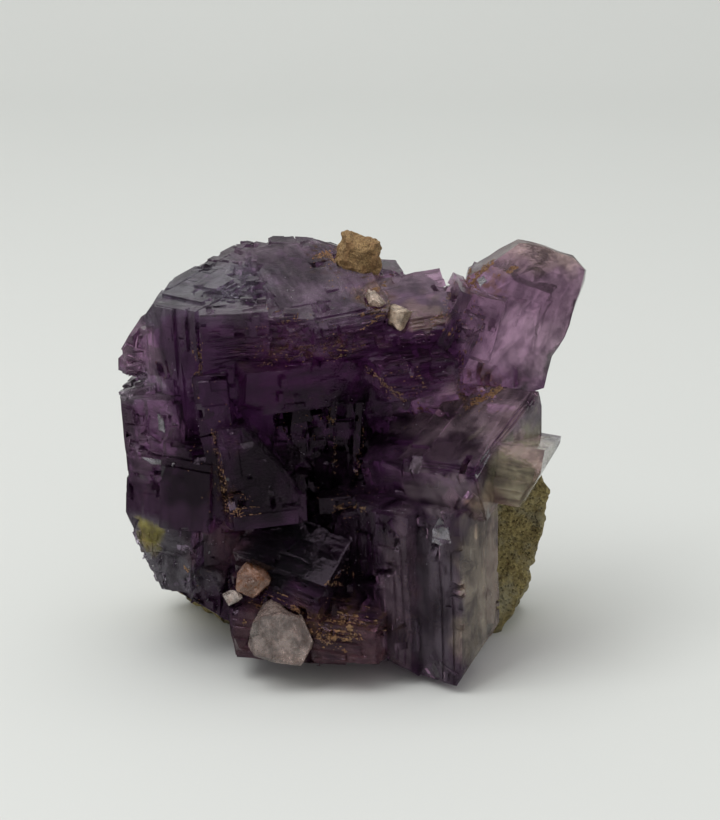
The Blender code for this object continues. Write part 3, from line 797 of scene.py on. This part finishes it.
class FLUORITE_OT_crumb(bpy.types.Operator):
    """Builds the brown crumb on top of the crown"""

    bl_idname = "fluorite.crumb"
    bl_label = "Iron crumb"

    def execute(self, context):
        mesh = merged_copy("iron_crumb")
        cut_long_edges(mesh, longest=0.35 * MM)
        bmesh.ops.smooth_vert(mesh, verts=mesh.verts, factor=0.5, use_axis_x=True, use_axis_y=True, use_axis_z=True)
        wander(mesh, grain=1.3 * MM, height=0.5 * MM, shift=(1, 7, 2))
        wander(mesh, grain=0.5 * MM, height=0.2 * MM, shift=(5, 2, 9))
        piece = piece_from(mesh, "iron_crumb_fine")
        dress(piece, rough_material("iron_oxide"), "iron_oxide", "iron_crumb")
        return {"FINISHED"}


# Rust in the joints between the cubes: centre and reach of each patch, how many crumbs, and their size.
# A centre of two numbers is a place in the picture.
RUST_PATCHES = {
    "ledge_joint": ((320, 352), (9, 3, 1.3), 150, 0.34),
    "crown_inset": ((285, 313), (3, 2, 1.2), 40, 0.34),
    "crown_strip": ((3.5, -3, 51), (1.8, 5, 2.6), 110, 0.42),
    "left_edge": ((198, 365), (1.2, 2, 4), 70, 0.34),
    "left_spot": ((160, 372), (1.4, 1.4, 1.4), 16, 0.34),
    "hollow": ((-6, -4, 36), (5, 4, 5), 210, 0.28),
    "hollow_right": ((360, 450), (1.8, 2.4, 5), 80, 0.28),
    "gold_ridge": ((6.5, -9.5, 41), (3.8, 2.4, 2.8), 100, 0.36),
    "gold_gap": ((8.7, -4, 36.6), (2.6, 5, 2.4), 24, 0.4),
    "shelf": ((350, 506), (4, 2.4, 1.4), 80, 0.32),
    "block_strip": ((-16.5, -14, 29), (1.6, 2.4, 6), 120, 0.32),
    "block_foot": ((-14.8, -16.4, 26), (2.8, 1.8, 2.2), 80, 0.34),
    "front_block": ((-3, -16, 9.3), (8, 3, 2), 170, 0.45),
    "quartz_side": ((-12, -14, 12.4), (3.5, 3, 1.6), 70, 0.42),
    "plate_joint": ((-1, -12.5, 15), (3.4, 2.4, 1.2), 60, 0.32),
    "wing_edge": ((17.5, 1, 53.5), (2.8, 3, 3), 90, 0.4),
    "tilted_top": ((17, -2.5, 38.5), (4.8, 4, 2.2), 100, 0.4),
    "wing_root": ((15.5, -4, 46), (3.4, 3, 4.4), 70, 0.34),
    "saddle_ridge": ((12.5, -4, 48.5), (1.8, 3, 3.2), 50, 0.36),
    "left_foot": ((-18, -6, 9), (5, 4, 5), 40, 0.34),
}
# Pale flakes in the joints: centre and reach of each patch, how many, and their size.
PALE_PATCHES = (
    ((-12.5, -5, 52), (3, 3, 2), 26, 0.26),
    ((-19.5, -8.5, 42), (1, 2, 3), 10, 0.3),
    ((-4, -4, 36), (6, 4, 6), 30, 0.22),
    ((-17, -5.5, 8), (3, 3, 3), 16, 0.5),
    ((-23, -7, 14), (4, 3, 4), 16, 0.4),
    ((4, -15, 16), (4, 4, 9), 24, 0.22),
    ((12, -6, 44), (6, 4, 4), 24, 0.26),
)
# Veins of rust that follow a line over the faces: its places in the picture, and its width in millimetres.
RUST_VEINS = {
    "front_ledge_left": (((250, 604), (268, 610)), 0.9),
    "front_ledge_middle": (((285, 605), (318, 618)), 0.8),
    "front_ledge_right": (((335, 622), (350, 628), (357, 640)), 1.1),
    "front_band_high": (((310, 632), (333, 638), (350, 640)), 0.8),
    "front_band_low": (((320, 640), (345, 650)), 0.5),
    "front_band_left": (((245, 622), (268, 625)), 0.6),
    "gold_ridge": (((368, 368), (385, 385), (405, 400)), 0.5),
    "gold_gap": (((418, 408), (428, 411)), 0.7),
    "crown_line": (((253, 366), (285, 360), (316, 353)), 0.32),
    "crown_line_high": (((300, 348), (340, 344)), 0.22),
    "crown_ledge": (((258, 328), (304, 318)), 0.25),
    "crumb_stain": (((312, 262), (325, 252), (334, 262)), 0.9),
    "crown_strip": (((385, 285), (370, 292), (352, 300)), 0.7),
    "crown_strip_low": (((362, 330), (378, 318)), 0.5),
    "left_edge": (((199, 345), (201, 375)), 0.4),
    "block_strip_high": (((213, 430), (218, 460)), 0.35),
    "block_strip_low": (((224, 490), (230, 515), (240, 508)), 0.6),
    "triangle": (((473, 403), (490, 395), (500, 388)), 1.1),
    "triangle_edge": (((460, 390), (468, 410)), 0.5),
    "wing_edge": (((470, 285), (480, 272), (492, 262)), 0.8),
    "wing_edge_low": (((500, 275), (515, 268)), 0.8),
    "saddle_ridge": (((450, 295), (440, 315), (432, 325)), 0.35),
    "recess_rib_left": (((335, 440), (335, 470)), 0.3),
    "recess_rib_right": (((360, 450), (357, 475)), 0.4),
    "shelf": (((335, 508), (350, 505), (365, 510)), 0.5),
    "recess_gold": (((328, 418), (333, 422)), 0.8),
    "plate_joint": (((325, 583), (345, 585)), 0.5),
    "left_low": (((184, 566), (188, 572)), 0.6),
}
# Fine specks on open faces: centre and reach of each patch, how many, and their size.
RUST_SPECKS = (
    ((-5, -3, 36), (4.5, 4, 5), 160, 0.24),
    ((0, -9, 22), (6, 5, 8), 90, 0.2),
    ((-3, -15, 9), (8, 4, 3), 120, 0.3),
    ((2, 0, 53), (5, 8, 3), 60, 0.3),
    ((17, 0, 50), (4, 5, 5), 90, 0.3),
    ((-8, -9, 47), (9, 3, 4), 120, 0.24),
    ((17, -4, 38), (5, 5, 3), 80, 0.3),
    ((-18, -12, 34), (4, 4, 10), 80, 0.24),
)
# Pale specks on open faces, partly pale chips and partly painted glints where the crystal sparkles: centre and reach
# of each patch, how many, and their size.
PALE_SPECKS_AND_GLINTS = (
    ((-5, -4, 33), (8, 6, 8), 200, 0.16),
    ((-12, -4, 51), (6, 6, 4), 90, 0.2),
    ((4, -14, 17), (7, 6, 10), 150, 0.16),
    ((-24, -6, 16), (7, 5, 7), 90, 0.35),
    ((12, -6, 40), (9, 6, 7), 110, 0.2),
    ((-24, -7, 38), (7, 5, 9), 70, 0.2),
)
# Thin pale flakes, by the places of their corners in the picture.
PALE_CHIPS = {
    "column_chip": ((440, 518), (449, 528), (451, 543), (441, 546), (432, 543), (433, 530)),
    "white_strip": ((488, 442), (490, 455), (483, 468), (477, 478), (475, 474), (482, 458)),
    "left_flake": ((158, 414), (164, 417), (165, 432), (159, 429)),
    "left_flake_low": ((142, 457), (158, 459), (174, 463), (173, 466), (152, 464)),
    "wing_chip": ((477, 280), (484, 276), (487, 281), (480, 287)),
}


def seats_of(body):
    """Where crumbs can sit: along inward edges, and on faces."""
    angle, inset = math.radians(20), 0.8
    joints, open_faces = [], []
    for edge in body.edges:
        inward = len(edge.link_faces) == 2 and not edge.is_convex
        if inward and edge.calc_face_angle(0) > angle:
            start, end = (vert.co.copy() for vert in edge.verts)
            out = (edge.link_faces[0].normal + edge.link_faces[1].normal).normalized()
            joints.append((start, end, out, (start + end) / 2, edge.calc_length()))
    for face in body.faces:
        edge = max(face.edges, key=lambda one: one.calc_length())
        start, end = (vert.co.copy() for vert in edge.verts)
        middle = face.calc_center_median()
        shift = (middle - (start + end) / 2) * inset
        open_faces.append((start + shift, end + shift, face.normal.copy(), middle, face.calc_area()))
    return joints, open_faces


def crumb_at(mesh, spot, first, out, size, long, flat, dice):
    """One small faceted sliver that lies flat on its seat."""
    degrees, shortest, widths, ragged = 20, 0.7, (0.4, 0.9), 0.25
    turn = Matrix((first, out.cross(first), out)).transposed().to_4x4()
    spin = Matrix.Rotation(math.radians(dice.uniform(-degrees, degrees)), 4, "Z")
    shape = Matrix.Diagonal((dice.uniform(shortest, long), dice.uniform(*widths), flat, 1.0))
    place = Matrix.Translation(spot) @ turn @ spin @ shape
    made = bmesh.ops.create_icosphere(mesh, subdivisions=1, radius=size / 2, matrix=place)
    for vert in made["verts"]:
        vert.co += Vector([dice.uniform(-1, 1) for _ in range(3)]) * size * flat * ragged
        vert.co.z = max(vert.co.z, 0.0)


def scattered(surface, seats, patches, dice, long, flat):
    """Slivers laid along their seats, as one small mesh for each patch."""
    fewest, widening, sizes, power, lift = 8, 1.2, (0.35, 1.0), 1.5, 0.05
    for centre, reach, count, largest in patches:
        if len(centre) == 2:
            centre = seen_at(surface, centre) / MM
        near = []
        while len(near) < fewest:
            near = [seat for seat in seats if inside(seat[3], centre, reach)]
            reach = [limit * widening for limit in reach]
        mesh = bmesh.new()
        for start, end, out, _, _ in dice.choices(near, weights=[seat[4] for seat in near], k=count):
            size = largest * dice.uniform(*sizes) ** power * MM
            spot = start.lerp(end, dice.random()) + out * size * lift
            crumb_at(mesh, spot, (end - start).normalized(), out, size, long, flat, dice)
        yield mesh


def veined(surface, veins, dice):
    """Slivers strewn along lines over the surface, as one small mesh for each vein."""
    density, fewest, narrowest, sizes, power = 42, 6, 0.35, (0.12, 0.5), 0.7
    ends, share, least, grain, gaps = (-0.05, 1.05), 0.24, 0.17, 1.1, 0.08
    long, flat, lift, reach = 1.3, 0.3, 0.04, 3 * MM
    for pixels, width in veins.values():
        mesh = bmesh.new()
        points = [seen_at(surface, pixel) for pixel in pixels]
        view = (points[0] - Vector(CAMERA_EYE) * MM).normalized()
        for start, end in zip(points, points[1:]):
            count = int((end - start).length / MM * density * max(width, narrowest)) + fewest
            scatter = max(share * width, least)
            for _ in range(count):
                size = dice.uniform(*sizes) * width ** power * MM
                aim = start.lerp(end, dice.uniform(*ends))
                aim += Vector([dice.gauss(0, scatter) for _ in range(3)]) * MM
                if noise.noise(aim / (grain * MM)) > gaps:
                    continue
                spot, out, _, _ = surface.ray_cast(aim - view * reach, view, 2 * reach)
                if spot is None:
                    continue
                first = (end - start) - out * (end - start).dot(out)
                if first.length < WELD:
                    first = out.orthogonal()
                first.normalize()
                crumb_at(mesh, spot + out * size * lift, first, out, size, long, flat, dice)
        yield mesh


def flake(surface, pixels, dice):
    """A thin flake with its corners on the surface, a little raised and ragged."""
    thick, thirds, ragged = 0.12 * MM, (0.34, 0.67), (-0.08, 0.12)
    mesh = bmesh.new()
    corners = [seen_at(surface, pixel) for pixel in pixels]
    ring = []
    for start, end in zip(corners, corners[1:] + corners[:1]):
        ring += [start] + [start.lerp(end, share) for share in thirds]
    middle = sum(ring, Vector()) / len(ring)
    out = sum(((a - middle).cross(b - middle) for a, b in zip(ring, ring[1:] + ring[:1])), Vector()).normalized()
    if out.y > 0:
        out = -out
    top = [mesh.verts.new(p.lerp(middle, dice.uniform(*ragged)) + out * thick) for p in ring]
    low = [mesh.verts.new(vert.co - out * 2 * thick) for vert in top]
    mesh.faces.new(top)
    mesh.faces.new(low[::-1])
    for a, b in zip(range(len(top)), list(range(1, len(top))) + [0]):
        mesh.faces.new((low[a], low[b], top[b], top[a]))
    bmesh.ops.recalc_face_normals(mesh, faces=mesh.faces)
    return mesh


def joined(parts, name):
    """One piece made of many small meshes."""
    whole = bmesh.new()
    data = bpy.data.meshes.new("part")
    for mesh in parts:
        mesh.to_mesh(data)
        mesh.free()
        whole.from_mesh(data)
    bpy.data.meshes.remove(data)
    return piece_from(whole, name)


class FLUORITE_OT_rust(bpy.types.Operator):
    """Seats crumbs of rust and pale flakes in the joints of the cluster, and pale specks on the faces that are
    partly pale chips and partly painted glints
    """

    bl_idname = "fluorite.rust"
    bl_label = "Rust crumbs"

    def execute(self, context):
        dice = random.Random(SEED + 1)
        body = bmesh.new()
        body.from_mesh(bpy.data.objects["fluorite_cluster_fine"].data)
        body.normal_update()
        joints, open_faces = seats_of(body)
        surface = BVHTree.FromBMesh(body)
        body.free()
        parts = list(scattered(surface, joints, RUST_PATCHES.values(), dice, long=2.6, flat=0.45))
        parts += scattered(surface, open_faces, RUST_SPECKS, dice, long=1.6, flat=0.25)
        parts += veined(surface, RUST_VEINS, dice)
        dress(joined(parts, "rust_crumbs"), rough_material("rust_film"), "iron_oxide")
        parts = list(scattered(surface, joints, PALE_PATCHES, dice, long=1.8, flat=0.35))
        # Painted glints: pale specks strewn over the open faces.
        parts += scattered(surface, open_faces, PALE_SPECKS_AND_GLINTS, dice, long=1.5, flat=0.22)
        parts += [flake(surface, pixels, dice) for pixels in PALE_CHIPS.values()]
        dress(joined(parts, "pale_flakes_and_glints"), quartz_material("pale_flake", *FLAKE_AND_GLINT_LOOK), "pale_quartz")
        return {"FINISHED"}


class FLUORITE_OT_quartz(bpy.types.Operator):
    """Builds the pale quartz crystals and grains"""

    bl_idname = "fluorite.quartz"
    bl_label = "Quartz crystals"

    def execute(self, context):
        dice = random.Random(SEED + 2)
        for node, look in QUARTZ_LOOKS.items():
            mesh = merged_copy(node)
            cut_long_edges(mesh, longest=1.2 * MM)
            wander(mesh, grain=2.2 * MM, height=0.09 * MM, shift=(4, 4, 1))
            wander(mesh, grain=0.9 * MM, height=0.02 * MM, shift=(2, 7, 3))
            mesh.normal_update()
            chips = edge_chips(mesh, count=22, deepest=0.8, dice=dice)
            piece = piece_from(mesh, node + "_fine")
            boolean(piece, "DIFFERENCE", chips)
            smooth_faces(piece, degrees=9)
            dress(piece, quartz_material(node, *look), "pale_quartz", node)
        return {"FINISHED"}


# Soft boxes: place in metres, side, and share of the power.
SOFT_BOXES = {
    "soft_box_key": ((-0.36, -0.26, 0.66), 0.45, 0.73),
    "soft_box_top": ((0.0, 0.02, 0.85), 0.65, 0.62),
}
SOFT_BOX_AIM = (0, 0, 0.02)


def linked(data, place, turn):
    """The object of a lamp or a camera, at a place in metres."""
    made = bpy.data.objects.new(data.name, data)
    made.location = place
    made.rotation_euler = turn.to_euler()
    bpy.context.scene.collection.objects.link(made)
    return made


class FLUORITE_OT_stage(bpy.types.Operator):
    """Lays the pale paper, sets the soft light and the camera"""

    bl_idname = "fluorite.stage"
    bl_label = "Stage"

    def execute(self, context):
        settings = context.scene.fluorite_stage
        half, forward, radius, high = 0.9, 0.5, 0.25, 0.9
        mesh = bmesh.new()
        bmesh.ops.create_grid(mesh, x_segments=1, y_segments=1, size=half)
        bmesh.ops.translate(mesh, verts=mesh.verts, vec=(0, -forward, 0))
        back = [edge for edge in mesh.edges if all(vert.co.y > 0 for vert in edge.verts)]
        bend = (0, half - forward, radius)
        turned = bmesh.ops.spin(mesh, geom=back, cent=bend, axis=(1, 0, 0), angle=math.radians(90), steps=24)
        top = [part for part in turned["geom_last"] if isinstance(part, bmesh.types.BMEdge)]
        raised = bmesh.ops.extrude_edge_only(mesh, edges=top)["geom"]
        up = [part for part in raised if isinstance(part, bmesh.types.BMVert)]
        bmesh.ops.translate(mesh, verts=up, vec=(0, 0, high))
        for face in mesh.faces:
            face.smooth = True
        sweep = piece_from(mesh, "paper_sweep")
        sweep.data.materials.append(paper_material(settings.floor_colour))

        world = bpy.data.worlds.new("soft_sky")
        world.use_nodes = True
        sky = world.node_tree.nodes["Background"].inputs
        sky["Color"].default_value = (1.0, 1.0, 1.0, 1.0)
        sky["Strength"].default_value = settings.sky_strength
        context.scene.world = world
        context.scene.view_settings.view_transform = "Standard"

        for name, (place, size, share) in SOFT_BOXES.items():
            lamp = bpy.data.lights.new(name, "AREA")
            lamp.size = size
            lamp.energy = settings.soft_box_power * share
            linked(lamp, place, (Vector(SOFT_BOX_AIM) - Vector(place)).to_track_quat("-Z", "Y"))

        camera = bpy.data.cameras.new("camera")
        camera.sensor_fit = "HORIZONTAL"
        camera.sensor_width = CAMERA_SENSOR
        camera.lens = CAMERA_LENS
        context.scene.camera = linked(camera, Vector(CAMERA_EYE) * MM, camera_turn())
        return {"FINISHED"}


class FLUORITE_PT_panel(bpy.types.Panel):
    bl_idname = "FLUORITE_PT_panel"
    bl_label = "Fluorite cube specimen"
    bl_space_type = "VIEW_3D"
    bl_region_type = "UI"
    bl_category = "Fluorite"

    def draw(self, context):
        for group_name in SETTINGS:
            settings = getattr(context.scene, group_name)
            box = self.layout.box()
            for name in settings.bl_rna.properties.keys():
                if name not in {"rna_type", "name"}:
                    box.prop(settings, name)
        for operator in OPERATORS:
            self.layout.operator(operator.bl_idname)


SETTINGS = {
    "fluorite_crystal": CrystalSettings,
    "fluorite_rock": RockSettings,
    "fluorite_stage": StageSettings,
}
OPERATORS = (
    FLUORITE_OT_cluster, FLUORITE_OT_rock, FLUORITE_OT_crumb, FLUORITE_OT_quartz, FLUORITE_OT_rust,
    FLUORITE_OT_stage,
)
CLASSES = (*SETTINGS.values(), *OPERATORS, FLUORITE_PT_panel)


def register():
    for kind in CLASSES:
        bpy.utils.register_class(kind)
    for name, settings in SETTINGS.items():
        setattr(bpy.types.Scene, name, PointerProperty(type=settings))


def unregister():
    for name in SETTINGS:
        delattr(bpy.types.Scene, name)
    for kind in reversed(CLASSES):
        bpy.utils.unregister_class(kind)


def main():
    register()
    noise.seed_set(SEED)
    bpy.ops.fluorite.cluster()
    bpy.ops.fluorite.rock()
    bpy.ops.fluorite.crumb()
    bpy.ops.fluorite.quartz()
    bpy.ops.fluorite.rust()
    bpy.ops.fluorite.stage()


if __name__ == "__main__":
    main()
